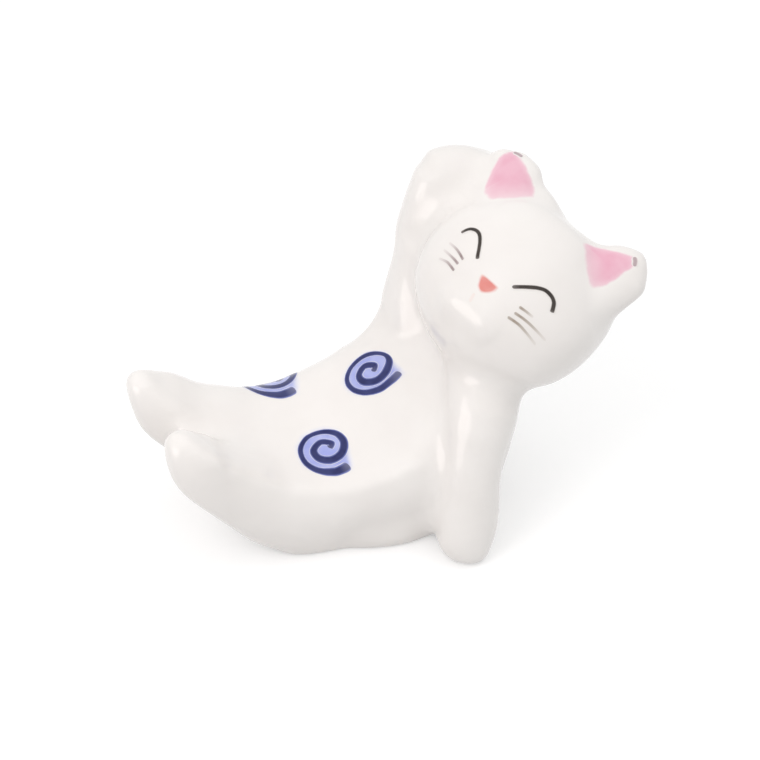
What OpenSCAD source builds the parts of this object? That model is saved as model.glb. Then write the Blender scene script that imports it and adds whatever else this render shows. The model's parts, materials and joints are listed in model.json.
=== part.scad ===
// Chopstick rest: a reclining porcelain cat whose belly and legs make the saddle.
// +X runs from the feet to the head, +Y to the cat's right side, +Z up.
// The origin is on the table, under the cat's belly.

/* [Torso] */
// Length of the torso from the hip joint to the neck's end
torso_len = 33; // [31:0.5:35]
// Height of the neck's end above the table
neck_h = 24; // [22:0.5:26]
// Width across the hips
hip_w = 23.6; // [21:0.2:25]
// Thickness of the chest from front to back
torso_t = 16; // [14:0.5:18]
// Width of the lower back, on which the cat stands
back_w = 19; // [17:0.2:21]
// Height of the lower back
back_h = 11; // [9:0.2:12]
// Distance of the hip joint from the origin, towards the feet
hip_x = 13.5; // [12:0.5:15]
// Angle by which the hips roll onto the cat's left side
hip_roll = 12; // [8:0.5:14]
// Angle by which the shoulders roll onto the cat's left side
shoulder_roll = 24; // [18:0.5:28]

/* [Legs] */
// Length of the left leg from the hip joint to the tip of the foot, along the table
left_leg_len = 13; // [11:0.5:15]
// Length of the right leg from the hip joint to the tip of the foot, along the table
right_leg_len = 15; // [13:0.5:17]
// Height of the middle of a foot's tip above the table
foot_h = 19.4; // [15:0.2:20]
// Width of a thigh
thigh_w = 12.6; // [12:0.2:14]
// Thickness of a thigh
thigh_t = 11.2; // [11:0.2:13]
// Distance of a foot's tip from the cat's middle plane
foot_out = 6; // [5:0.2:7]

/* [Head] */
// Width of the head across the cheeks
head_w = 24.4; // [23:0.2:28]
// Height of the head from chin to crown
head_h = 23.2; // [21:0.2:25]
// Depth of the head from face to nape
head_d = 19.6; // [18:0.2:21]
// Distance of the head's centre ahead of the neck's end
head_ahead = -0.8; // [-2:0.1:2]
// Distance of the head's centre to the left of the middle plane
head_out = 2.1; // [0:0.1:3]
// Height of the head's centre above the neck's end
head_up = 4.8; // [4:0.2:8]
// Angle by which the crown rises from lying flat
head_recline = 35.5; // [25:0.5:45]
// Angle by which the head leans onto its left ear
head_lean = 15.5; // [5:0.5:25]
// Angle by which the face turns to the cat's left
head_turn = 30; // [20:0.5:45]

/* [Ears] */
// Distance of an ear's tip from the middle of the head, sideways
ear_out = 10.4; // [9:0.1:12]
// Distance of an ear's tip above the middle of the head
ear_up = 13.8; // [12:0.1:14]
// Distance by which the left ear lies lower on the head
ear_drop = 0.6; // [0:0.1:1]
// Distance of an ear's middle in front of the head's middle
ear_ahead = 2; // [0:0.2:3]
// Width of an ear at its root
ear_w = 10.8; // [10:0.1:13]
// Thickness of an ear at its root
ear_t = 7; // [5:0.1:8]

/* [Left arm, which props the cat] */
// Thickness of the left arm at the shoulder
prop_w = 10; // [8:0.2:11]
// Height of the left shoulder's middle above the table
prop_h = 20; // [18:0.2:22]
// Distance of the left hand from the middle plane
prop_out = 15.4; // [13:0.2:18]

/* [Right arm, raised behind the head] */
// Thickness of the right arm at the elbow
lift_w = 8.6; // [7:0.2:10]
// Height of the right elbow's middle above the table
elbow_h = 37.4; // [35:0.2:40]
// Distance of the right elbow's middle from the middle plane
elbow_out = 12.8; // [11:0.2:15]

/* [Painted details] */
// Thickness of the fired paint on the glaze
paint_t = 0.12; // [0.1:0.01:0.15]
// Width of a closed eye's line
eye_line = 0.58; // [0.3:0.02:0.8]
// Width of a whisker's line
whisker_line = 0.2; // [0.15:0.01:0.3]
// Width of the line under the nose
mouth_line = 0.36; // [0.2:0.02:0.5]
// Length of the dark touch on an ear's tip
touch_len = 0.9; // [0.6:0.05:1.2]
// Distance from a spiral's middle to its outer end
spiral_r = 3.6; // [2.8:0.1:3.8]
// Width of a spiral's line at its outer end
spiral_line = 0.95; // [0.6:0.05:1]
// Width of the pale wash outside a spiral's line
wash_rim = 0.16; // [0.1:0.02:0.3]

/* [Hidden] */
porcelain = "snow";
pink = "pink";
salmon = "salmon";
dark = "dimgray";
navy = "midnightblue";
periwinkle = "lightsteelblue";
// Sides and rings of the torso and the head
sides = 36;
rings = 26;
// Reach of the blocks that cut a piece
far = 200;
// Points along an eye's line and along a whisker
eye_points = 16;
whisker_points = 6;
// Turns of a spiral, the points on one turn, and the share of spiral_r where the line begins
spiral_turns = 2.4;
turn_points = 24;
spiral_start_share = 0.09;
// Width of a spiral's line where it begins, as a share of spiral_line
thin_share = 0.7;

// Rows of shares: place along, height of the middle, width, thickness
torso_shares = [
    [-0.06, 0.30, 0.95, 0.74],
    [0.16, 0.245, 1.00, 0.84],
    [0.34, 0.275, 1.03, 0.91],
    [0.52, 0.33, 1.09, 1.05],
    [0.70, 0.465, 1.01, 1.09],
    [0.86, 0.71, 0.62, 0.70],
    [1.00, 0.95, 0.45, 0.50]
];
// Rows of shares: place along the torso, height of the middle, width, thickness
back_shares = [
    [0.03, 0.34, 0.84, 0.90],
    [0.28, 0.30, 0.98, 1.00],
    [0.54, 0.30, 1.00, 1.00],
    [0.80, 0.36, 0.86, 0.90]
];
// Rows of shares: place along, place out, height, width, thickness
leg_shares = [
    [-0.20, 0.72, 0.33, 1.13, 1.12],
    [0.06, 0.75, 0.38, 1.10, 1.04],
    [0.34, 0.86, 0.53, 0.92, 0.85],
    [0.60, 0.96, 0.68, 0.73, 0.68],
    [0.80, 1.00, 0.86, 0.59, 0.56],
    [0.93, 1.00, 1.05, 0.46, 0.44]
];
// Rows of shares: place along the torso, place out, height, thickness
prop_shares = [
    [0.85, 0.20, 1.06, 0.96],
    [0.79, 0.58, 0.90, 0.92],
    [0.72, 0.78, 0.62, 0.78],
    [0.685, 0.91, 0.34, 0.75],
    [0.66, 1.00, 0.10, 0.71],
    [0.65, 1.01, -0.02, 0.62]
];
// Rows of shares: place along the torso, place out, height, thickness
lift_shares = [
    [0.66, 0.44, 0.38, 1.12],
    [0.71, 0.70, 0.55, 1.06],
    [0.76, 0.84, 0.71, 0.92],
    [0.79, 0.94, 0.86, 0.94],
    [0.845, 1.00, 0.97, 1.00],
    [0.95, 1.00, 0.98, 0.95],
    [1.07, 0.93, 0.92, 0.80],
    [1.14, 0.80, 0.84, 0.72]
];
// Rows of shares of half the head: place sideways, height of the middle, height
skull_shares = [[-1, -0.14, 0.96], [-0.5, -0.06, 1], [0, 0, 1], [0.5, -0.06, 1], [1, -0.14, 0.96]];
// Rows of shares: place sideways, place upwards, width, thickness
ear_shares = [
    [0.40, 0.30, 1.00, 1.00],
    [0.72, 0.54, 0.86, 0.85],
    [0.90, 0.80, 0.60, 0.60],
    [1.00, 1.00, 0.30, 0.38]
];
// Points of shares: sideways of half the head's width, upwards of half its height
right_eye_shares = [[-0.6, 0.06], [-0.54, 0.16], [-0.42, 0.15], [-0.31, 0.08], [-0.24, -0.06]];
left_eye_shares = [[0.21, -0.05], [0.37, 0.09], [0.49, 0.14], [0.6, 0.11], [0.64, 0.03]];
nose_shares = [
    [-0.12, -0.16], [-0.08, -0.13], [0, -0.14], [0.08, -0.13], [0.12, -0.16],
    [0.08, -0.25], [0.02, -0.3], [-0.02, -0.3], [-0.08, -0.25]
];
mouth_shares = [[-0.01, -0.35], [-0.02, -0.4], [-0.04, -0.46]];
right_whisker_shares = [
    [[-0.59, -0.09], [-0.48, -0.12], [-0.37, -0.14]],
    [[-0.62, -0.18], [-0.5, -0.21], [-0.37, -0.22]],
    [[-0.6, -0.29], [-0.49, -0.3], [-0.38, -0.3]]
];
left_whisker_shares = [
    [[0.4, -0.16], [0.47, -0.14], [0.54, -0.14]],
    [[0.38, -0.22], [0.57, -0.22], [0.76, -0.24]],
    [[0.37, -0.3], [0.53, -0.3], [0.7, -0.32]]
];
// Points of shares: sideways of ear_out, upwards of the ear's tip above the middle of the head
right_pink_shares = [
    [-0.95, 0.94], [-0.8, 0.91], [-0.63, 0.85], [-0.47, 0.77], [-0.63, 0.6], [-0.87, 0.47],
    [-1.03, 0.59], [-1.08, 0.74], [-1.06, 0.86]
];
left_pink_shares = [
    [0.41, 0.67], [0.63, 0.77], [0.89, 0.88], [0.98, 0.88], [1.01, 0.79], [0.96, 0.61],
    [0.88, 0.49], [0.82, 0.46], [0.67, 0.54], [0.53, 0.63]
];
left_touch_share = [0.96, 0.89];
right_touch_share = [-0.93, 0.95];
// The chest spiral's place, as a share of torso_len, and a hip spiral's, as a share of spiral_r
chest_along_share = 0.46;
left_hip_along_share = 1.92;
right_hip_along_share = 1.01;
// Shares of half the hips' width and of the neck's height: place out, height
chest_place_shares = [0.13, 0.72];
left_hip_place_shares = [-0.43, 0.49];
right_hip_place_shares = [0.81, 0.51];
// Turns about X and Y that stand a spiral on the skin, and the direction of its outer end
chest_turns = [10, -32, -36];
left_hip_turns = [16, -16, -64];
right_hip_turns = [-30, -6, -24];

function unit(v) = v / norm(v);
function signed_power(v, e) = sign(v) * pow(abs(v), e);
function cubic(a, b, c, d, u) =
    b + u * (c - a) / 2 + u * u * (a - 2.5 * b + 2 * c - d / 2) + u * u * u * (3 * (b - c) + d - a) / 2;
function row_at(rows, t) =
    let (n = len(rows) - 1, s = min(n - 1, floor(t * n)))
    cubic(rows[max(0, s - 1)], rows[s], rows[s + 1], rows[min(n, s + 2)], t * n - s);
function centre(row) = [row[0], row[1], row[2]];
function way_at(rows, t) =
    let (near = 0.001)
    unit(centre(row_at(rows, min(1, t + near))) - centre(row_at(rows, max(0, t - near))));
function closing(t, share) = share > 0 ? max(0, 1 - t / share) : 0;

// A limb: oval sections along a smooth spine. Each row is the middle of a section, half its width and
// half its thickness. across points along the width, start and end are the parts of the limb that close
// to a round end, square and flat are the exponents of the upper and the lower half of a section.
module limb(
    rows, across, last_across, start = 0, end = 0, square = 2, flat = 2, grow = 0, n = sides, m = rings
) {
    turn = is_undef(last_across) ? across * 0 : last_across - across;
    points = [
        for (k = [0 : m])
            let (
                t = (1 - cos(180 * (k + 0.5) / (m + 1))) / 2,
                row = row_at(rows, t),
                along = way_at(rows, t),
                up = unit(cross(along, across + t * turn)),
                side = cross(up, along),
                shut = max(closing(t, start), closing(1 - t, end)),
                f = sqrt(1 - shut * shut)
            )
            for (j = [0 : n - 1])
                let (
                    e = 2 / (j > n / 2 ? flat : square),
                    c = signed_power(cos(360 * j / n), e),
                    s = signed_power(sin(360 * j / n), e)
                )
                centre(row) + side * (row[3] + grow) * f * c + up * (row[4] + grow) * f * s
    ];
    faces = concat(
        [[for (j = [0 : n - 1]) j]],
        [
            for (k = [0 : m - 1])
                for (j = [0 : n - 1])
                    let (a = k * n + j, b = k * n + (j + 1) % n)
                    each [[a, a + n, b], [b, a + n, b + n]]
        ],
        [[for (j = [n - 1 : -1 : 0]) m * n + j]]
    );
    polyhedron(points = points, faces = faces);
}

module below_table() {
    translate([-far, -far, -2 * far]) cube(2 * far);
}

module torso_form(grow = 0) {
    limb(
        [for (s = torso_shares) [
            s[0] * torso_len - hip_x, 0, s[1] * neck_h, s[2] * hip_w / 2, s[3] * torso_t / 2
        ]],
        [0, cos(hip_roll), sin(hip_roll)], [0, cos(shoulder_roll), sin(shoulder_roll)],
        end = 0.12, square = 3, flat = 3.4, grow = grow
    );
}

// The lower back is full on the cat's right side too, so that the cat stands level
module back_form() {
    limb(
        [for (s = back_shares) [
            s[0] * torso_len - hip_x, 0, s[1] * back_h, s[2] * back_w / 2, s[3] * back_h / 2
        ]],
        [0, 1, 0], start = 0.2, end = 0.3, square = 2.4, flat = 3, n = 24, m = 12
    );
}

module torso() {
    color(porcelain) difference() {
        union() {
            torso_form();
            back_form();
        }
        below_table();
        translate([-hip_x - 2 * far, -far, -far]) cube(2 * far);
    }
}

module leg_form(side, length) {
    limb(
        [for (s = leg_shares) [
            -hip_x - s[0] * length,
            side * s[1] * foot_out * cos(hip_roll),
            s[2] * foot_h + side * s[1] * foot_out * (1 - s[0]) * sin(hip_roll),
            s[3] * thigh_w / 2,
            s[4] * thigh_t / 2
        ]],
        [0, cos(hip_roll), sin(hip_roll)], end = 0.3, square = 2.8, flat = 2.6, n = 28, m = 22
    );
}

module leg(side, length) {
    color(porcelain) intersection() {
        leg_form(side, length);
        translate([-hip_x - far, side > 0 ? 0 : -far, 0]) cube(far);
    }
}

module at_head() {
    translate([torso_len - hip_x + head_ahead, -head_out, neck_h + head_up])
        rotate([head_recline, head_lean, head_turn - 90])
            children();
}

module skull(grow = 0) {
    limb(
        [for (s = skull_shares) [
            s[0] * head_w / 2, s[1] * head_h / 2, 0, s[2] * head_h / 2, head_d / 2
        ]],
        [0, 1, 0], start = 0.5, end = 0.5, square = 2.1, flat = 2.1, grow = grow, m = 24
    );
}

module head() {
    color(porcelain) difference() {
        at_head() skull();
        torso_form();
    }
}

function ear_top(side) = side > 0 ? ear_up - ear_drop : ear_up;

module ear_form(side, grow = 0) {
    limb(
        [for (s = ear_shares) [
            side * s[0] * ear_out, s[1] * ear_top(side), ear_ahead, s[2] * ear_w / 2, s[3] * ear_t / 2
        ]],
        [1, -0.5 * side, 0], end = 0.3, square = 2.2, flat = 2.2, grow = grow, n = 24, m = 14
    );
}

module ear(side) {
    color(porcelain) at_head() difference() {
        ear_form(side);
        skull();
    }
}

module left_arm_form() {
    limb(
        [for (s = prop_shares) [
            s[0] * torso_len - hip_x, -s[1] * prop_out, s[2] * prop_h, s[3] * prop_w / 2, s[3] * prop_w / 2
        ]],
        [1, 0, 0], start = 0.12, end = 0.25, n = 28, m = 22
    );
}

module left_arm() {
    color(porcelain) difference() {
        left_arm_form();
        below_table();
        torso_form();
        at_head() skull();
    }
}

module right_arm_form() {
    limb(
        [for (s = lift_shares) [
            s[0] * torso_len - hip_x, s[1] * elbow_out, s[2] * elbow_h, s[3] * lift_w / 2, s[3] * lift_w / 2
        ]],
        [0.7, -0.7, 0], end = 0.1, n = 28, m = 30
    );
}

module right_arm() {
    color(porcelain) difference() {
        right_arm_form();
        torso_form();
        at_head() skull();
        at_head() ear_form(-1);
    }
}

function on_face(points) = [for (p = points) [p[0] * head_w / 2, p[1] * head_h / 2]];
function on_ear(side, p) = [p[0] * ear_out, p[1] * ear_top(side)];
function curve(points, m) = [for (k = [0 : m]) row_at(points, k / m)];

// A brush line with blunt ends, whose width goes from first to last
module brush(line, first, last) {
    n = len(line) - 1;
    ways = [for (k = [0 : n]) unit(line[min(n, k + 1)] - line[max(0, k - 1)])];
    outs = [for (k = [0 : n]) (first + (last - first) * k / n) / 2 * [-ways[k][1], ways[k][0]]];
    polygon(concat(
        [for (k = [0 : n]) line[k] + outs[k]],
        [for (a = [45 : -45 : -45]) line[n] + cos(a) * norm(outs[n]) * ways[n] + sin(a) * outs[n]],
        [for (k = [n : -1 : 0]) line[k] - outs[k]],
        [for (a = [-45 : 45 : 45]) line[0] - cos(a) * norm(outs[0]) * ways[0] + sin(a) * outs[0]]
    ));
}

// Fired paint on the face: the child's outline, as thick as paint_t, on the skull
module face_paint(paint) {
    color(paint) at_head() difference() {
        intersection() {
            skull(grow = paint_t);
            linear_extrude(head_d) children();
        }
        skull();
    }
}

// Fired paint on an ear's front, running onto the skull at its root
module ear_paint(side) {
    difference() {
        intersection() {
            union() {
                ear_form(side, grow = paint_t);
                skull(grow = paint_t);
            }
            translate([0, 0, ear_ahead]) linear_extrude(head_d) children();
        }
        ear_form(side);
        skull();
    }
}

module touch(side) {
    place = on_ear(side, side > 0 ? left_touch_share : right_touch_share);
    way = [-side, 1] * touch_len / 4;
    brush([place - way, place, place + way], touch_len / 2, touch_len / 2);
}

module ear_pink(side, shares) {
    color(pink) at_head() ear_paint(side) difference() {
        polygon([for (p = shares) on_ear(side, p)]);
        touch(side);
    }
}

module ear_tip_touches() {
    color(dark) at_head() for (side = [-1, 1])
        difference() {
            intersection() {
                ear_form(side, grow = paint_t);
                translate([0, 0, ear_ahead]) linear_extrude(head_d) touch(side);
            }
            ear_form(side);
        }
}

module eye(shares) {
    face_paint(dark) brush(curve(on_face(shares), eye_points), eye_line, eye_line);
}

module nose() {
    face_paint(salmon) polygon(on_face(nose_shares));
}

module mouth() {
    face_paint(pink) brush(on_face(mouth_shares), mouth_line, mouth_line);
}

module whiskers(shares) {
    face_paint(dark)
        for (line = shares)
            brush(curve(on_face(line), whisker_points), whisker_line, whisker_line);
}

// A point of a spiral at share t of its length, whose outer end points out, wide of the line's middle
function coil_point(t, out, wide) =
    let (a = out - 360 * spiral_turns * (1 - t))
    (spiral_r * (spiral_start_share + (1 - spiral_start_share) * t) + wide) * [cos(a), sin(a)];

module coil(turns) {
    m = round(turn_points * spiral_turns);
    brush([for (k = [0 : m]) coil_point(k / m, turns[2], 0)], spiral_line * thin_share, spiral_line);
}

// The pale wash fills the spiral's outer turn and shows between the lines
module wash(turns) {
    difference() {
        polygon([
            for (k = [0 : turn_points])
                coil_point(1 - k / turn_points / spiral_turns, turns[2], spiral_line / 2 + wash_rim)
        ]);
        coil(turns);
    }
}

// Fired paint on the torso: the child's outline, stood on the skin at its distance from the hip joint
module torso_paint(paint, along, shares, turns) {
    color(paint) difference() {
        intersection() {
            torso_form(grow = paint_t);
            translate([along - hip_x, shares[0] * hip_w / 2, shares[1] * neck_h])
                rotate([turns[0], turns[1], 0])
                translate([0, 0, -spiral_r]) linear_extrude(2 * spiral_r) children();
        }
        torso_form();
    }
}

module chest_paint(paint) {
    torso_paint(paint, chest_along_share * torso_len, chest_place_shares, chest_turns) children();
}

module left_hip_paint(paint) {
    torso_paint(paint, left_hip_along_share * spiral_r, left_hip_place_shares, left_hip_turns) children();
}

module right_hip_paint(paint) {
    torso_paint(paint, right_hip_along_share * spiral_r, right_hip_place_shares, right_hip_turns) children();
}

torso();
leg(-1, left_leg_len);  // left_leg
leg(1, right_leg_len);  // right_leg
head();
ear(1);  // left_ear
ear(-1);  // right_ear
left_arm();
right_arm();
ear_pink(1, left_pink_shares);  // left_ear_pink
ear_pink(-1, right_pink_shares);  // right_ear_pink
ear_tip_touches();
eye(left_eye_shares);  // left_eye
eye(right_eye_shares);  // right_eye
nose();
mouth();
whiskers(left_whisker_shares);  // left_whiskers
whiskers(right_whisker_shares);  // right_whiskers
chest_paint(navy) coil(chest_turns);  // chest_spiral
chest_paint(periwinkle) wash(chest_turns);  // chest_wash
left_hip_paint(navy) coil(left_hip_turns);  // left_hip_spiral
left_hip_paint(periwinkle) wash(left_hip_turns);  // left_hip_wash
right_hip_paint(navy) coil(right_hip_turns);  // right_hip_spiral
right_hip_paint(periwinkle) wash(right_hip_turns);  // right_hip_wash
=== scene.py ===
import json
import math

import bpy
from mathutils import Euler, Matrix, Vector
from mathutils.bvhtree import BVHTree

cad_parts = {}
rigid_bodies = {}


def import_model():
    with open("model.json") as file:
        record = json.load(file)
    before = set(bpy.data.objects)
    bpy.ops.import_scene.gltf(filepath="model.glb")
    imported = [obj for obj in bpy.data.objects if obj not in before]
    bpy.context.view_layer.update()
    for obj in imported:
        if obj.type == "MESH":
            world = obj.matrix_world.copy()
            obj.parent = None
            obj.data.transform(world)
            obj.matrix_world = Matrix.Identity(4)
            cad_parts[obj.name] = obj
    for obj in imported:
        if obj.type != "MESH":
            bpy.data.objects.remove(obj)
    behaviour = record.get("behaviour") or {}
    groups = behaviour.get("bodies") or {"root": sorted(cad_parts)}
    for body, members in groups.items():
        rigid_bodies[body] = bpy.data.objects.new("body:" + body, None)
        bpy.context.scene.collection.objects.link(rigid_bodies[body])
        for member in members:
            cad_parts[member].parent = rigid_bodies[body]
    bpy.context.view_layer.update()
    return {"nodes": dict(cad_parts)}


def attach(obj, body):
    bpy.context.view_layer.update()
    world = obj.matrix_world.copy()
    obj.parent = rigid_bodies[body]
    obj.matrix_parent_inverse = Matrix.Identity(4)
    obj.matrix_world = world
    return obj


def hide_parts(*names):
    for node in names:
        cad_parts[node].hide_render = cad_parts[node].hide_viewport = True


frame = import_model()

# The camera looks down on the left side of the rest, from a little towards the feet. It stands well
# away and has a long lens, so that the far forms are hardly smaller than the near ones.
view_turn = math.radians(-18)
view_height = math.radians(40)
view_distance = 0.29
aim = Vector((0.0022, 0, 0.0172))
back = Vector((
    math.sin(view_turn) * math.cos(view_height),
    -math.cos(view_turn) * math.cos(view_height),
    math.sin(view_height),
))
bpy.ops.object.camera_add(
    location=aim + view_distance * back, rotation=back.to_track_quat("Z", "Y").to_euler()
)
camera = bpy.context.object
camera.name = "camera"
camera.data.lens = 109.9
camera.data.sensor_width = 36
camera.data.clip_start = 0.01
bpy.context.scene.camera = camera

# The figure: one piece of white porcelain. Its eight forms are luted together while the clay is
# leather hard, and the joints are filled with slip and sponged until one form runs into the next.
head_place = Vector((0.0187, -0.0021, 0.0288))
head_turn = Euler([math.radians(angle) for angle in (35.5, 15.5, -60)])
forms = ["torso", "left_leg", "right_leg", "head", "left_ear", "right_ear", "left_arm", "right_arm"]


def on_head(x, y, z):
    """A place given from the middle of the head: towards its left ear, its crown and its face."""
    return head_place + head_turn.to_matrix() @ Vector((x, y, z))


# balls of clay for the muzzle and the crown, and at the roots of the ears
bpy.ops.object.select_all(action="DESELECT")
for place, size in (
    (on_head(-0.0019, -0.0052, 0.0060), 0.0032),
    (on_head(0.0019, -0.0052, 0.0060), 0.0032),
    (on_head(-0.0032, 0.0096, 0.0012), 0.0028),
    (Vector((0.0272, -0.0092, 0.0311)), 0.0030),
    (Vector((0.0213, 0.0095, 0.0397)), 0.0018),
):
    bpy.ops.mesh.primitive_uv_sphere_add(segments=32, ring_count=16, radius=size, location=place)
    clay = bpy.context.object
    clay.name = "clay"
    clay.select_set(False)
for name in forms:
    frame["nodes"][name].select_set(True)
bpy.ops.object.duplicate()
for copy in bpy.context.selected_objects:
    copy.name = "clay_form"
for item in bpy.data.objects:
    if item.name.startswith("clay"):
        item.select_set(True)
bpy.context.view_layer.objects.active = clay
bpy.ops.object.join()
bpy.ops.object.transform_apply()
figure = bpy.context.object
bpy.ops.object.mode_set(mode="EDIT")
bpy.ops.mesh.select_all(action="SELECT")
bpy.ops.mesh.remove_doubles(threshold=0.000001)
bpy.ops.object.mode_set(mode="OBJECT")
figure.data.remesh_voxel_size = 0.0005
bpy.ops.object.voxel_remesh()
# slip fills the narrow places: the skin is let out until it closes over them, and drawn in again
slip = 0.0016
for growth in (slip, -slip):
    bpy.ops.object.modifier_add(type="DISPLACE")
    figure.modifiers[0].strength = growth
    figure.modifiers[0].mid_level = 0
    bpy.ops.object.modifier_apply(modifier=figure.modifiers[0].name)
    bpy.ops.object.voxel_remesh()


def sponge(strokes, spring=-0.52):
    """Smooths the chosen clay. The spring lets it out again after each stroke, and it keeps its size."""
    for stroke in range(strokes):
        bpy.ops.mesh.vertices_smooth(factor=0.5)
        if spring:
            bpy.ops.mesh.vertices_smooth(factor=spring)


def choose(fits):
    """Chooses the vertices of the figure that fit, in edit mode."""
    bpy.ops.mesh.select_mode(type="VERT")
    bpy.ops.mesh.select_all(action="DESELECT")
    bpy.ops.object.mode_set(mode="OBJECT")
    for vertex in figure.data.vertices:
        vertex.select = fits(vertex)
    bpy.ops.object.mode_set(mode="EDIT")


def choose_round(places, reach):
    """Chooses the clay that is nearer to one of the places than the reach."""
    places = [Vector(place) for place in places]
    choose(lambda vertex: min((vertex.co - place).length for place in places) < reach)


def move_chosen(move, reach, falloff="SMOOTH"):
    """Moves the chosen clay, and less and less of what is round it, out to the reach."""
    bpy.ops.transform.translate(
        value=move, use_proportional_edit=True, use_proportional_connected=True,
        proportional_edit_falloff=falloff, proportional_size=reach,
    )


def push(place, move, reach, falloff="SMOOTH"):
    """A thumb's push at a place."""
    place = Vector(place)
    thumb = min(figure.data.vertices, key=lambda vertex: (vertex.co - place).length).index
    choose(lambda vertex: vertex.index == thumb)
    move_chosen(move, reach, falloff)
    # out of edit mode and in again, so that the next push finds the clay where it is now
    bpy.ops.object.mode_set(mode="OBJECT")
    bpy.ops.object.mode_set(mode="EDIT")


bpy.ops.object.mode_set(mode="EDIT")
bpy.ops.mesh.select_all(action="SELECT")
sponge(45)
# the thighs run into the belly, and the raised arm and the ears run into what carries them
choose(lambda vertex: -0.0205 < vertex.co.x < -0.0075 and vertex.co.z > 0.003)
sponge(50, spring=0)
for place, reach in (
    ((0.0047, 0.0095, 0.0173), 0.0045), ((0.0281, -0.0108, 0.0299), 0.0040),
    (on_head(-0.0020, 0.0112, 0.0020), 0.0035), (on_head(0.0030, 0.0110, 0.0020), 0.0035),
    (on_head(0, -0.0052, 0.0088), 0.0042),
):
    choose_round([place], reach)
    sponge(25, spring=0)
# the cheek meets the raised arm softly, and the valley between them is filled
choose_round((
    (0.0124, 0.0087, 0.0366), (0.0111, 0.0086, 0.0347), (0.0099, 0.0081, 0.0315),
    (0.0092, 0.0073, 0.0283), (0.0083, 0.0045, 0.0280), (0.0075, 0.0018, 0.0270),
    (0.0076, -0.0010, 0.0262), (0.0079, -0.0038, 0.0255), (0.0088, -0.0062, 0.0249),
), 0.0022)
sponge(20, spring=0)
choose_round((
    (0.0089, 0.0079, 0.0279), (0.0086, 0.0073, 0.0265), (0.0083, 0.0066, 0.0251),
    (0.0082, 0.0059, 0.0239), (0.0082, 0.0051, 0.0227), (0.0083, 0.0042, 0.0217),
    (0.0085, 0.0032, 0.0208), (0.0088, 0.0015, 0.0206), (0.0091, -0.0003, 0.0205),
), 0.0010)
move_chosen(0.0009 * back, 0.0035)
# what is still a sharp crease is sponged out: its clay lies deeper than the clay round it
crease_depth = 0.00002
for pass_over in range(4):
    bpy.ops.object.mode_set(mode="OBJECT")
    around = [[Vector((0, 0, 0)), 0] for vertex in figure.data.vertices]
    for edge in figure.data.edges:
        for here, there in (tuple(edge.vertices), tuple(edge.vertices)[::-1]):
            around[here][0] += figure.data.vertices[there].co
            around[here][1] += 1
    hollow = [
        (total / count - vertex.co).dot(vertex.normal)
        for vertex, (total, count) in zip(figure.data.vertices, around)
    ]
    bpy.ops.object.mode_set(mode="EDIT")
    choose(lambda vertex: hollow[vertex.index] > crease_depth)
    bpy.ops.mesh.select_more()
    sponge(7, spring=0)
# the thigh's side is pressed flat, which leaves a ridge between it and the lap: broad first, then
# its sharper crest; the far leg has a short one too
for way, move, reach in (
    ((
        (-0.0232, -0.0088, 0.0184), (-0.0222, -0.0090, 0.0176), (-0.0201, -0.0090, 0.0154),
        (-0.0180, -0.0091, 0.0136), (-0.0147, -0.0092, 0.0114), (-0.0114, -0.0097, 0.0097),
        (-0.0080, -0.0103, 0.0091), (-0.0047, -0.0110, 0.0091), (-0.0014, -0.0114, 0.0098),
        (0.0020, -0.0118, 0.0112), (0.0043, -0.0115, 0.0125),
    ), (0, -0.00008, 0.00036), 0.0044),
    ((
        (-0.0215, -0.0089, 0.0178), (-0.0201, -0.0089, 0.0164), (-0.0180, -0.0090, 0.0146),
        (-0.0147, -0.0091, 0.0124), (-0.0114, -0.0096, 0.0107), (-0.0080, -0.0102, 0.0101),
        (-0.0047, -0.0109, 0.0101), (-0.0014, -0.0113, 0.0108), (0.0020, -0.0117, 0.0121),
        (0.0043, -0.0114, 0.0134),
    ), (0, -0.00012, 0.00016), 0.0020),
    ((
        (-0.0275, 0.0043, 0.0199), (-0.0257, 0.0028, 0.0180), (-0.0238, 0.0018, 0.0162),
        (-0.0217, 0.0011, 0.0148),
    ), (0, -0.00005, 0.00018), 0.0032),
):
    for start, end in zip(way, way[1:]):
        for share in (0, 0.5):
            push(Vector(start).lerp(Vector(end), share), move, reach, "LINEAR")
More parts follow.
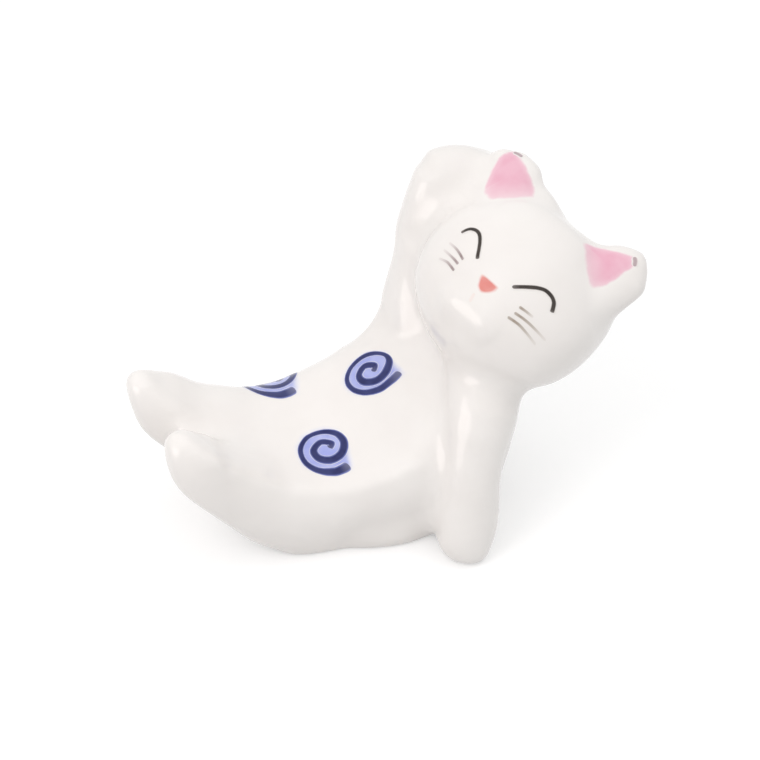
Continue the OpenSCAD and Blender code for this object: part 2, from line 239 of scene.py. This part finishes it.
# single pushes true up the ears, the arms, the underside and the legs, each at its place
for place, move, reach in (
    ((0.0250, 0.0050, 0.0384), (0.0004, 0, 0.0001), 0.0028),
    ((0.0205, 0.0142, 0.0394), (0, -0.0001, -0.0004), 0.0040),
    ((0.0288, -0.0093, 0.0275), (0.0003, -0.0002, -0.0001), 0.0040),
    ((0.0249, 0.0082, 0.0408), (-0.0004, 0, -0.0002), 0.0025),
    ((0.0298, -0.0042, 0.0262), (0.0008, -0.0001, -0.0002), 0.0040),
    ((0.0046, 0.0095, 0.0178), (-0.0004, 0.0003, 0.0004), 0.0040),
    ((-0.0002, -0.0113, 0.0002), (0, -0.0009, 0), 0.0060),
    ((0.0110, 0.0151, 0.0376), (0.00045, -0.00035, -0.00025), 0.0050),
    ((0.0172, 0.0152, 0.0402), (0, -0.00025, -0.00037), 0.0050),
    ((0.0093, 0.0140, 0.0340), (0.00045, -0.0002, -0.0001), 0.0050),
    ((0.0272, 0.0002, 0.0362), (-0.0004, -0.0001, -0.00045), 0.0060),
    ((0.0309, -0.0106, 0.0316), (0.0005, -0.0006, -0.0004), 0.0040),
    ((0.0245, 0.0073, 0.0400), (0.0008, -0.0001, 0.0001), 0.0035),
    ((-0.0195, -0.0083, 0.0060), (0.0002, 0.0001, 0.0002), 0.0060),
    ((-0.0162, -0.0088, 0.0022), (0.0003, 0.0004, 0.0004), 0.0060),
    ((-0.0244, -0.0060, 0.0107), (0.0003, 0, 0.0002), 0.0050),
    ((-0.0268, 0.0050, 0.0129), (-0.0003, 0, -0.0002), 0.0050),
    ((-0.0221, 0.0085, 0.0175), (0, 0.0001, 0.0003), 0.0050),
    ((-0.0030, -0.0112, 0.0003), (0, -0.0005, 0), 0.0040),
    ((0.0174, -0.0074, 0.0080), (-0.0003, 0.0001, 0), 0.0040),
    ((0.0121, -0.0161, 0.0048), (0.0003, 0, 0), 0.0050),
    ((-0.0225, -0.0083, 0.0082), (0.0003, 0.0001, 0.0002), 0.0060),
    ((0.0025, -0.0108, 0.0003), (0, -0.0009, 0), 0.0060),
    ((0.0068, -0.0100, 0.0003), (0, -0.0009, 0), 0.0050),
    ((0.0085, -0.0178, 0.0008), (0.0004, -0.0003, 0), 0.0035),
    ((-0.0280, 0.0071, 0.0194), (-0.0002, 0.0001, 0.0003), 0.0050),
):
    push(place, move, reach)
# two creases that the pushes left on the near leg are sponged out
for place, reach in (((-0.0193, -0.0074, 0.0047), 0.0030), ((-0.0199, -0.0066, 0.0167), 0.0028)):
    choose_round([place], reach)
    sponge(20, spring=0)
bpy.ops.mesh.select_all(action="SELECT")
sponge(8)
bpy.ops.object.mode_set(mode="OBJECT")

# each place of the skin belongs to the nearest of the eight forms, with the borders evened out
shells = []
figure.data.materials.clear()
for name in forms:
    clay = frame["nodes"][name].data
    shells.append(BVHTree.FromPolygons(
        [vertex.co for vertex in clay.vertices], [tuple(face.vertices) for face in clay.polygons]
    ))
    figure.data.materials.append(bpy.data.materials.new(name))
owners = []
neighbours = [[] for vertex in figure.data.vertices]
for face in figure.data.polygons:
    distances = [shell.find_nearest(face.center)[3] for shell in shells]
    owners.append(distances.index(min(distances)))
    for corner in face.vertices:
        neighbours[corner].append(face.index)
for sweep in range(10):
    votes = [
        [owners[other] for corner in face.vertices for other in neighbours[corner]]
        for face in figure.data.polygons
    ]
    owners = [max(set(vote), key=lambda owner: (vote.count(owner), -owner)) for vote in votes]
for face, owner in zip(figure.data.polygons, owners):
    face.material_index = owner
bpy.ops.object.modifier_add(type="SUBSURF")
bpy.ops.object.modifier_apply(modifier=figure.modifiers[0].name)
# the foot is ground level
foot_height = 0.00008
for vertex in figure.data.vertices:
    if vertex.co.z < foot_height:
        vertex.co.z = 0
bpy.ops.object.shade_smooth()


def noise(tree, spot, scale, detail=2):
    """An uneven value over the spots, finer with a larger scale."""
    grain = tree.nodes.new("ShaderNodeTexNoise")
    grain.inputs["Scale"].default_value = scale
    grain.inputs["Detail"].default_value = detail
    tree.links.new(spot, grain.inputs["Vector"])
    return grain.outputs["Fac"]


def spread(tree, value, start, end, low, high, interpolation="LINEAR"):
    """The value laid from its range of start to end over the range of low to high, and kept in it."""
    scale = tree.nodes.new("ShaderNodeMapRange")
    scale.interpolation_type = interpolation
    for name, number in (("From Min", start), ("From Max", end), ("To Min", low), ("To Max", high)):
        scale.inputs[name].default_value = number
    tree.links.new(value, scale.inputs["Value"])
    return scale.outputs["Result"]


def combine(tree, operation, *values):
    """One value from others by an operation. Each is a number or comes from another node."""
    result = tree.nodes.new("ShaderNodeMath")
    result.operation = operation
    for socket, value in zip(result.inputs, values):
        if isinstance(value, bpy.types.NodeSocket):
            tree.links.new(value, socket)
        else:
            socket.default_value = value
    return result.outputs["Value"]


def glaze_colour(material):
    """Gives a material the look of the glaze. Returns its shader, and the colour for an enamel to cover."""
    material.use_nodes = True
    tree = material.node_tree
    shader = tree.nodes["Principled BSDF"]
    spot = tree.nodes.new("ShaderNodeTexCoord").outputs["Object"]
    pool = noise(tree, spot, 130, 3)
    tone = tree.nodes.new("ShaderNodeValToRGB")
    tone.color_ramp.elements[0].position = 0.35
    tone.color_ramp.elements[0].color = (0.850, 0.818, 0.792, 1)
    tone.color_ramp.elements[1].position = 0.65
    tone.color_ramp.elements[1].color = (0.874, 0.845, 0.820, 1)
    tree.links.new(pool, tone.inputs["Fac"])
    tree.links.new(spread(tree, pool, 0.3, 0.7, 0.12, 0.17), shader.inputs["Roughness"])
    peel = tree.nodes.new("ShaderNodeBump")
    peel.inputs["Strength"].default_value = 0.05
    peel.inputs["Distance"].default_value = 0.0002
    tree.links.new(noise(tree, spot, 420), peel.inputs["Height"])
    tree.links.new(peel.outputs["Normal"], shader.inputs["Normal"])
    return shader, tone.outputs["Color"]


# the clear glaze over the white body; the foot is wiped clean of it and stays matt
glaze = bpy.data.materials.new("clear_glaze")
shader, white_body = glaze_colour(glaze)
tree = glaze.node_tree
height = tree.nodes.new("ShaderNodeSeparateXYZ")
tree.links.new(tree.nodes.new("ShaderNodeTexCoord").outputs["Object"], height.inputs["Vector"])
foot = spread(tree, height.outputs["Z"], 0.00005, 0.00020, 1, 0)
bisque = tree.nodes.new("ShaderNodeMix")
bisque.data_type = "RGBA"
tree.links.new(foot, bisque.inputs["Factor"])
tree.links.new(white_body, bisque.inputs["A"])
bisque.inputs["B"].default_value = (0.80, 0.76, 0.71, 1)
tree.links.new(bisque.outputs["Result"], shader.inputs["Base Color"])
matt = tree.nodes.new("ShaderNodeMix")
tree.links.new(foot, matt.inputs["Factor"])
tree.links.new(shader.inputs["Roughness"].links[0].from_socket, matt.inputs["A"])
matt.inputs["B"].default_value = 0.75
tree.links.new(matt.outputs["Result"], shader.inputs["Roughness"])

# the eight forms part along their joints, and each is closed there, under the skin of its neighbour;
# the shading runs on from one to the next
joint_depth = 0.0016
shading = figure.data.attributes.new("shading", "FLOAT_VECTOR", "POINT")
for item, vertex in zip(shading.data, figure.data.vertices):
    item.vector = vertex.normal
bpy.ops.object.select_all(action="DESELECT")
figure.select_set(True)
bpy.ops.object.duplicate()
bpy.ops.object.mode_set(mode="EDIT")
bpy.ops.mesh.select_all(action="SELECT")
bpy.ops.mesh.separate(type="MATERIAL")
bpy.ops.object.mode_set(mode="OBJECT")
for form in list(bpy.context.selected_objects):
    node = form.data.materials[0].name
    form.name = node + "_porcelain"
    form.data.materials.clear()
    form.data.materials.append(glaze)
    bpy.ops.object.select_all(action="DESELECT")
    form.select_set(True)
    bpy.context.view_layer.objects.active = form
    bpy.ops.object.mode_set(mode="EDIT")
    bpy.ops.mesh.select_all(action="DESELECT")
    bpy.ops.mesh.select_mode(type="EDGE")
    bpy.ops.mesh.select_non_manifold()
    bpy.ops.mesh.extrude_region_move()
    bpy.ops.object.mode_set(mode="OBJECT")
    for item, vertex in zip(form.data.attributes["shading"].data, form.data.vertices):
        if vertex.select:
            vertex.co -= joint_depth * item.vector
    bpy.ops.object.mode_set(mode="EDIT")
    bpy.ops.mesh.extrude_region_move()
    bpy.ops.mesh.merge(type="COLLAPSE")
    bpy.ops.mesh.select_all(action="SELECT")
    bpy.ops.mesh.normals_make_consistent()
    bpy.ops.object.mode_set(mode="OBJECT")
    form.data.normals_split_custom_set_from_vertices([
        item.vector.normalized() for item in form.data.attributes["shading"].data
    ])
    form.data.attributes.remove(form.data.attributes["shading"])
    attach(form, "root")
    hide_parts(node)

# The inner ears: pink enamel, brushed into the hollow of each ear over the glaze and fired on at a
# low heat. It is thickest near the tip and thins out towards the root.


def enamel(name, colours, edge, length, blur=None, streaks=0.25, disc=False):
    """An enamel that lets the glaze show through at its edge. Its colours are those of its thin and its
    thick places. The edge and the blur say between which places, from the middle of the film out, its
    cover and its thickness fade. The length says how thick it is along its way, the streaks how uneven
    it is, and a disc is painted round a middle instead of along a line."""
    material = bpy.data.materials.new(name)
    shader, bare = glaze_colour(material)
    tree = material.node_tree
    where = tree.nodes.new("ShaderNodeTexCoord")
    spot = where.outputs["Object"]
    way = tree.nodes.new("ShaderNodeSeparateXYZ")
    tree.links.new(where.outputs["UV"], way.inputs["Vector"])
    out = way.outputs["Y"]
    if not disc:
        out = combine(tree, "ABSOLUTE", spread(tree, out, 0, 1, -1, 1))
    fray = 0.16
    ragged = combine(tree, "MULTIPLY_ADD", noise(tree, spot, 900, 4), fray, out)  # by half of it either way
    rim, core = (
        spread(tree, ragged, start + fray / 2, end + fray / 2, 1, 0, "SMOOTHSTEP")
        for start, end in (edge, blur or edge)
    )
    load = tree.nodes.new("ShaderNodeValToRGB")
    while len(load.color_ramp.elements) < len(length):
        load.color_ramp.elements.new(0.5)
    for stop, (place, amount) in zip(load.color_ramp.elements, length):
        stop.position = place
    for stop, (place, amount) in zip(load.color_ramp.elements, length):
        stop.color = (amount, amount, amount, 1)
    tree.links.new(way.outputs["X"], load.inputs["Fac"])
    full = tree.nodes.new("ShaderNodeMix")
    full.inputs["Factor"].default_value = 1
    full.inputs["A"].default_value = 1
    tree.links.new(load.outputs["Color"], full.inputs["B"])
    if disc:
        tree.links.new(way.outputs["Y"], full.inputs["Factor"])
    full = full.outputs["Result"]
    uneven = spread(tree, noise(tree, spot, 480), 0.35, 0.65, 1 - streaks, 1)
    thick = combine(tree, "MULTIPLY", combine(tree, "MULTIPLY", core, full), uneven)
    hue = tree.nodes.new("ShaderNodeValToRGB")
    hue.color_ramp.elements[0].color = (*colours[0], 1)
    hue.color_ramp.elements[1].color = (*colours[1], 1)
    tree.links.new(thick, hue.inputs["Fac"])
    cover = tree.nodes.new("ShaderNodeMix")
    cover.data_type = "RGBA"
    tree.links.new(combine(tree, "MULTIPLY", rim, full), cover.inputs["Factor"])
    tree.links.new(bare, cover.inputs["A"])
    tree.links.new(hue.outputs["Color"], cover.inputs["B"])
    tree.links.new(cover.outputs["Result"], shader.inputs["Base Color"])
    return material


def film(name, columns, rows, spot, thick, material, place=head_place, turn=head_turn, above=0.02, sunk=False):
    """A film of enamel: a grid goes to its spots above the figure, is laid down on the glaze and gets its
    thickness. The border of a sunk film has melted into the glaze, and lies just under its surface."""
    sunk_share = 0.7
    bpy.ops.object.select_all(action="DESELECT")
    bpy.ops.mesh.primitive_grid_add(
        x_subdivisions=columns, y_subdivisions=rows, size=1, location=place, rotation=turn
    )
    paint = bpy.context.object
    paint.name = name
    for vertex in paint.data.vertices:
        vertex.co = (*spot(vertex.co.x + 0.5, vertex.co.y + 0.5), above)
    bpy.ops.object.mode_set(mode="EDIT")
    bpy.ops.mesh.select_all(action="SELECT")
    bpy.ops.mesh.remove_doubles(threshold=0.0000001)
    bpy.ops.object.mode_set(mode="OBJECT")
    bpy.ops.object.modifier_add(type="SHRINKWRAP")
    bpy.ops.object.modifier_add(type="SOLIDIFY")
    lay, body = paint.modifiers
    lay.target = figure
    lay.wrap_method = "PROJECT"
    lay.use_project_z = True
    lay.use_positive_direction = False
    lay.use_negative_direction = True
    body.thickness = thick
    body.offset = 0
    bpy.ops.object.modifier_apply(modifier=lay.name)
    if max(vertex.co.z for vertex in paint.data.vertices) > above - 0.0001:
        raise ValueError(name + " misses the figure")
    if sunk:
        bpy.ops.object.mode_set(mode="EDIT")
        bpy.ops.mesh.select_mode(type="EDGE")
        bpy.ops.mesh.select_all(action="DESELECT")
        bpy.ops.mesh.select_non_manifold()
        bpy.ops.transform.translate(value=(0, 0, -sunk_share * thick), orient_type="LOCAL")
        bpy.ops.object.mode_set(mode="OBJECT")
    bpy.ops.object.modifier_apply(modifier=body.name)
    bpy.ops.object.transform_apply()
    bpy.ops.object.mode_set(mode="EDIT")
    bpy.ops.mesh.select_all(action="SELECT")
    bpy.ops.mesh.normals_make_consistent()
    bpy.ops.object.mode_set(mode="OBJECT")
    bpy.ops.object.shade_smooth()
    bpy.ops.object.modifier_add(type="DATA_TRANSFER")
    copy = paint.modifiers[0]
    copy.object = figure
    copy.use_loop_data = True
    copy.data_types_loops = {"CUSTOM_NORMAL"}
    copy.loop_mapping = "POLYINTERP_NEAREST"
    bpy.ops.object.modifier_apply(modifier=copy.name)
    paint.data.materials.append(material)
    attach(paint, "root")
    return paint


def along(points, share):
    """A place on the smooth line through the points."""
    last = len(points) - 1
    step = min(int(share * last), last - 1)
    rest = share * last - step
    before, start, end, after = (Vector(points[min(max(step + k, 0), last)]) for k in (-1, 0, 1, 2))
    slope, final = (end - before) / 2, (after - start) / 2
    return (
        start + rest * slope + rest**2 * (3 * (end - start) - 2 * slope - final)
        + rest**3 * (2 * (start - end) + slope + final)
    )


def patch(outline, grow=1):
    """The spots of a patch of paint: round its outline, which may grow a little, and from its middle out."""
    ring = [point for point in outline] + [outline[0]]
    middle = sum((Vector(point) for point in outline), Vector((0, 0))) / len(outline)

    def spot(turn, out):
        return middle + out * grow * (round_off(ring, turn) - middle)
    return spot


def round_off(ring, share):
    """A place on the closed smooth line through the points of a ring, whose last point is its first."""
    count = len(ring) - 1
    share = share % 1
    step = int(share * count)
    return along([ring[(step + k - 1) % count] for k in range(4)], (1 + share * count - step) / 3)


pink = enamel(
    "pink_brushed", ((0.87, 0.62, 0.69), (0.79, 0.41, 0.52)), (0.84, 1.0),
    ((0, 0.95), (0.25, 1), (0.60, 0.95), (0.78, 0.7), (0.92, 0.8)),
    blur=(0.6, 1.15), streaks=0.3, disc=True,
)
for side, outline in (
    ("right", (
        (-0.00998, 0.00707), (-0.01110, 0.00939), (-0.01150, 0.01107), (-0.01140, 0.01230),
        (-0.01080, 0.01300), (-0.00951, 0.01290), (-0.00816, 0.01245), (-0.00668, 0.01170),
        (-0.00562, 0.01101), (-0.00483, 0.01010), (-0.00615, 0.00822), (-0.00829, 0.00650),
        (-0.00922, 0.00655),
    )),
    ("left", (
        (0.00436, 0.00948), (0.00545, 0.01016), (0.00705, 0.01092), (0.00852, 0.01165),
        (0.00949, 0.01200), (0.01025, 0.01175), (0.01052, 0.01097), (0.01028, 0.00987),
        (0.01006, 0.00848), (0.00966, 0.00708), (0.00886, 0.00601), (0.00797, 0.00620),
        (0.00687, 0.00713), (0.00560, 0.00830),
    )),
):
    inner_ear = film(side + "_ear_pink_film", 64, 14, patch(outline, 1.07), 0.00006, pink, sunk=True)
    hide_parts(side + "_ear_pink")

# The dark touches on the tips of the ears: one dab of a small brush on each, in a grey brown enamel
# that runs a little into the glaze.


def stroke(points, wide):
    """The spots of a brush line through the points, as wide as it is said to be along its way."""
    length = sum((Vector(b) - Vector(a)).length for a, b in zip(points, points[1:]))

    def spot(share, across):
        ahead = along(points, min(share + 0.01, 1)) - along(points, max(share - 0.01, 0))
        side = Vector((-ahead.y, ahead.x)).normalized()
        half = wide(share) / 2
        short = min(1, max(0, 1 - min(share, 1 - share) * length / half))
        return along(points, share) + (2 * across - 1) * half * math.sqrt(1 - short**2) * side
    return spot


def together(strokes, name):
    """Joins strokes of the brush, of which the last was just made, into one piece."""
    bpy.ops.object.select_all(action="DESELECT")
    for paint in strokes:
        paint.select_set(True)
    bpy.ops.object.join()
    piece = bpy.context.object
    piece.name = name
    return piece


dab = enamel("grey_dab", ((0.62, 0.46, 0.50), (0.26, 0.17, 0.19)), (0.35, 0.95), ((0, 0.8), (1, 0.8)))
touches = []
for points, wide in (
    (((-0.01085, 0.01300), (-0.01020, 0.01315), (-0.00955, 0.01318)), 0.00065),
    (((0.00975, 0.01215), (0.01020, 0.01180), (0.01058, 0.01125)), 0.00080),
):
    touches.append(film("ear_tip_dab", 16, 8, stroke(points, lambda share: wide), 0.00008, dab))
touch = together(touches, "ear_tip_dabs")
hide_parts("ear_tip_touches")

# The closed eyes: a line of dark brown enamel each, in the shape of an arch, drawn in one go with
# a fine brush from the inner end outwards.
eye_line = enamel(
    "eye_brown", ((0.30, 0.24, 0.21), (0.022, 0.015, 0.011)), (0.50, 0.92),
    ((0, 0.85), (0.1, 1), (0.9, 1), (1, 0.85)), streaks=0.12,
)
for side, points, wide in (
    ("right", (
        (-0.00728, 0.00071), (-0.00696, 0.00138), (-0.00648, 0.00182), (-0.00576, 0.00202),
        (-0.00502, 0.00182), (-0.00432, 0.00120), (-0.00379, 0.00051), (-0.00331, -0.00022),
        (-0.00298, -0.00064),
    ), lambda share: 0.00052 + 0.00014 * min(1, 3 * share)),
    ("left", (
        (0.00259, -0.00059), (0.00374, 0.00042), (0.00487, 0.00131), (0.00575, 0.00172),
        (0.00666, 0.00166), (0.00725, 0.00131), (0.00760, 0.00073), (0.00780, 0.00026),
    ), lambda share: 0.00066 + 0.00004 * share),
):
    eye = film(side + "_eye_line", 60, 8, stroke(points, wide), 0.00008, eye_line)
    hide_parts(side + "_eye")

# The nose: a rounded triangle of salmon enamel on the tip of the muzzle, filled in with the point
# of a soft brush, so that its edge is a little blurred.
salmon = enamel(
    "salmon_dab", ((0.86, 0.66, 0.62), (0.74, 0.22, 0.19)), (0.66, 1.06), ((0, 1), (1, 1)), disc=True
)
nose = film("nose_dab", 48, 12, patch((
    (-0.00125, -0.00160), (0.00004, -0.00150), (0.00135, -0.00160), (0.00150, -0.00195),
    (0.00138, -0.00245), (0.00084, -0.00305), (0.00000, -0.00350), (-0.00075, -0.00320),
    (-0.00108, -0.00270), (-0.00138, -0.00200),
)), 0.00008, salmon, sunk=True)
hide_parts("nose")

# The mouth: a faint line of the nose's enamel, thinned, which runs down from under the nose and has
# nearly sunk into the glaze.
faint = enamel(
    "salmon_thinned", ((0.87, 0.76, 0.72), (0.84, 0.66, 0.60)), (0.2, 0.95), ((0, 0.5), (1, 0.4))
)
mouth = film("mouth_line", 16, 8, stroke(
    ((-0.00050, -0.00400), (-0.00042, -0.00455), (-0.00030, -0.00510)), lambda share: 0.0007
), 0.00008, faint, sunk=True)
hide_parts("mouth")

# The whiskers: three short strokes of thinned brown enamel on each cheek, each drawn outwards from
# the nose with the brush lifted off at its end.
for side, colours, lines in (
    ("right", ((0.62, 0.53, 0.53), (0.27, 0.20, 0.20)), (
        ((-0.00443, -0.00176), (-0.00535, -0.00142), (-0.00637, -0.00118), (-0.00773, -0.00109)),
        ((-0.00461, -0.00251), (-0.00540, -0.00236), (-0.00624, -0.00226), (-0.00769, -0.00216)),
        ((-0.00451, -0.00342), (-0.00535, -0.00322), (-0.00619, -0.00311), (-0.00750, -0.00334)),
    )),
    ("left", ((0.64, 0.58, 0.52), (0.29, 0.23, 0.18)), (
        ((0.00468, -0.00179), (0.00561, -0.00168), (0.00664, -0.00163)),
        ((0.00465, -0.00268), (0.00610, -0.00250), (0.00757, -0.00252), (0.00920, -0.00267)),
        ((0.00433, -0.00357), (0.00580, -0.00339), (0.00712, -0.00352), (0.00862, -0.00382)),
    )),
):
    thinned = enamel(
        side + "_whisker_brown", colours, (0.40, 0.98), ((0, 0.8), (0.2, 1), (0.6, 0.75), (1, 0.15))
    )
    whiskers = together([
        film("whisker", 24, 6, stroke(points, lambda share: 0.00052 - 0.00010 * share), 0.00007, thinned)
        for points in lines
    ], side + "_whisker_lines")
    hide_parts(side + "_whiskers")

# The spirals on the chest and the hips: a wash of pale blue, and on it a line of navy enamel, drawn
# from the middle out with a full brush. The line is thin in its outer turn and broad at its end.
wash = enamel(
    "blue_wash", ((0.74, 0.77, 0.90), (0.34, 0.38, 0.76)), (0.60, 0.98), ((0, 1), (1, 1)), disc=True
)
navy = enamel(
    "navy_brushed", ((0.17, 0.21, 0.56), (0.003, 0.007, 0.095)), (0.86, 1.0),
    ((0, 0.92), (0.06, 1), (0.92, 1), (1, 0.85)), blur=(0.5, 1.0), streaks=0.12,
)
# how much of the width of a line's film the paint covers, how far the wash goes past the turns, and
# how much longer than the near hip's spiral the far one is
covered = 0.84
wash_growth = 1.36
far_stretch = 1.15
# where the brush goes, along and across the body from the place of the spiral, and how wide it draws
hip_way = (
    (0.00071, 0.00040, 0.00085), (0.00117, 0.00090, 0.00075), (0.00000, 0.00163, 0.00078),
    (-0.00121, 0.00086, 0.00088), (-0.00100, -0.00043, 0.00095), (0.00036, -0.00124, 0.00102),
    (0.00189, -0.00089, 0.00105), (0.00267, 0.00050, 0.00095), (0.00214, 0.00200, 0.00075),
    (0.00057, 0.00297, 0.00062), (-0.00129, 0.00293, 0.00060), (-0.00264, 0.00157, 0.00062),
    (-0.00279, -0.00029, 0.00066), (-0.00183, -0.00193, 0.00085), (-0.00007, -0.00293, 0.00118),
    (0.00120, -0.00303, 0.00135), (0.00205, -0.00285, 0.00130),
)
chest_way = (
    (0.00021, 0.00000, 0.00080), (0.00074, 0.00065, 0.00080), (-0.00043, 0.00150, 0.00085),
    (-0.00164, 0.00086, 0.00090), (-0.00143, -0.00043, 0.00095), (0.00000, -0.00133, 0.00100),
    (0.00150, -0.00114, 0.00108), (0.00253, 0.00007, 0.00080), (0.00250, 0.00130, 0.00055),
    (0.00140, 0.00235, 0.00062), (-0.00021, 0.00296, 0.00066), (-0.00214, 0.00264, 0.00062),
    (-0.00329, 0.00136, 0.00062), (-0.00317, -0.00036, 0.00066), (-0.00193, -0.00183, 0.00075),
    (-0.00007, -0.00264, 0.00092), (0.00179, -0.00257, 0.00102), (0.00300, -0.00206, 0.00098),
)
for name, place, turn, brush_way in (
    ("chest", (0.00168, 0.001534, 0.01728), (10, -32), chest_way),
    ("left_hip", (-0.006588, -0.005074, 0.01176), (16, -16), hip_way),
    (
        "right_hip", (-0.009600, 0.008400, 0.01280), (-27, -6),
        [(far_stretch * x, y, wide) for x, y, wide in hip_way],
    ),
):
    tilt = Euler([math.radians(angle) for angle in turn + (0,)])
    on_body = {"place": place, "turn": tilt, "above": 0.0035}
    line = [Vector(point[:2]) for point in brush_way]
    widths = [point[1:] for point in brush_way]
    middle = sum(line[6:], Vector((0, 0))) / len(line[6:])
    outline = [middle + (point - middle) * wash_growth for point in line[7:]]
    blue_wash = film(name + "_blue_wash", 64, 16, patch(outline), 0.00005, wash, sunk=True, **on_body)
    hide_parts(name + "_wash")
    spiral = film(
        name + "_spiral_line", 300, 8, stroke(line, lambda share: along(widths, share)[1] / covered),
        0.0001, navy, **on_body
    )
    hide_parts(name + "_spiral")
# the figure is all in its pieces now
bpy.data.objects.remove(figure)

# The table top and the room round it are white, where they are seen straight or in the glaze. They
# light the rest a little less than that, from above more than from the sides, and four lamps add to it.


def seen(tree):
    """Is 1 for the rays that show the white, straight or reflected, and 0 for those that light the rest."""
    ray = tree.nodes.new("ShaderNodeLightPath")
    reflected = combine(tree, "MAXIMUM", ray.outputs["Is Glossy Ray"], ray.outputs["Is Transmission Ray"])
    return combine(tree, "MAXIMUM", ray.outputs["Is Camera Ray"], reflected)


bpy.ops.mesh.primitive_plane_add(size=4, location=(0, 0, 0))
floor = bpy.context.object
floor.name = "floor"
white = bpy.data.materials.new("white")
white.use_nodes = True
tree = white.node_tree
shader = tree.nodes["Principled BSDF"]
shader.inputs["Base Color"].default_value = (0.7, 0.7, 0.7, 1)
shader.inputs["Roughness"].default_value = 1
shader.inputs["Specular IOR Level"].default_value = 0
shader.inputs["Emission Color"].default_value = (1, 1, 1, 1)
# what the light on the table top lacks to be white in the picture
table_lift = 0.36
tree.links.new(combine(tree, "MULTIPLY", seen(tree), table_lift), shader.inputs["Emission Strength"])
floor.data.materials.append(white)
world = bpy.data.worlds.new("studio")
bpy.context.scene.world = world
world.use_nodes = True
tree = world.node_tree
room = tree.nodes["Background"]
room.inputs["Color"].default_value = (1, 1, 1, 1)
up = tree.nodes.new("ShaderNodeSeparateXYZ")
tree.links.new(tree.nodes.new("ShaderNodeTexCoord").outputs["Generated"], up.inputs["Vector"])
strength = tree.nodes.new("ShaderNodeMix")
tree.links.new(seen(tree), strength.inputs["Factor"])
tree.links.new(spread(tree, up.outputs["Z"], 0, 1, 0.60, 1.05), strength.inputs["A"])
strength.inputs["B"].default_value = 1
tree.links.new(strength.outputs["Result"], room.inputs["Strength"])
# three lamps light the rest, and the window to its left is only seen in the glaze
for name, place, shape, size, power, colour in (
    ("right_fill", (0.20, -0.05, 0.44), "DISK", (0.24, 0.24), 0.13, (1, 1, 1)),
    ("left_fill", (-0.14, -0.07, 0.20), "DISK", (0.12, 0.12), 0.115, (1, 0.93, 0.91)),
    ("left_softbox", (-0.47, -0.24, 0.17), "ELLIPSE", (0.10, 0.27), 0.09, (1, 1, 1)),
    ("left_window", (-0.45, -0.14, 0.15), "ELLIPSE", (0.40, 0.30), 0.66, (1, 0.91, 0.88)),
):
    bpy.ops.object.light_add(type="AREA", location=place)
    lamp = bpy.context.object
    lamp.name = name
    lamp.data.shape = shape
    lamp.data.size = size[0]
    lamp.data.size_y = size[1]
    lamp.data.energy = power
    lamp.data.color = colour
    lamp.visible_glossy = name == "left_window"
    lamp.visible_diffuse = name != "left_window"
    lamp.rotation_euler = (Vector((0.004, 0, 0.018)) - lamp.location).to_track_quat("-Z", "Y").to_euler()
bpy.context.scene.view_settings.view_transform = "Standard"
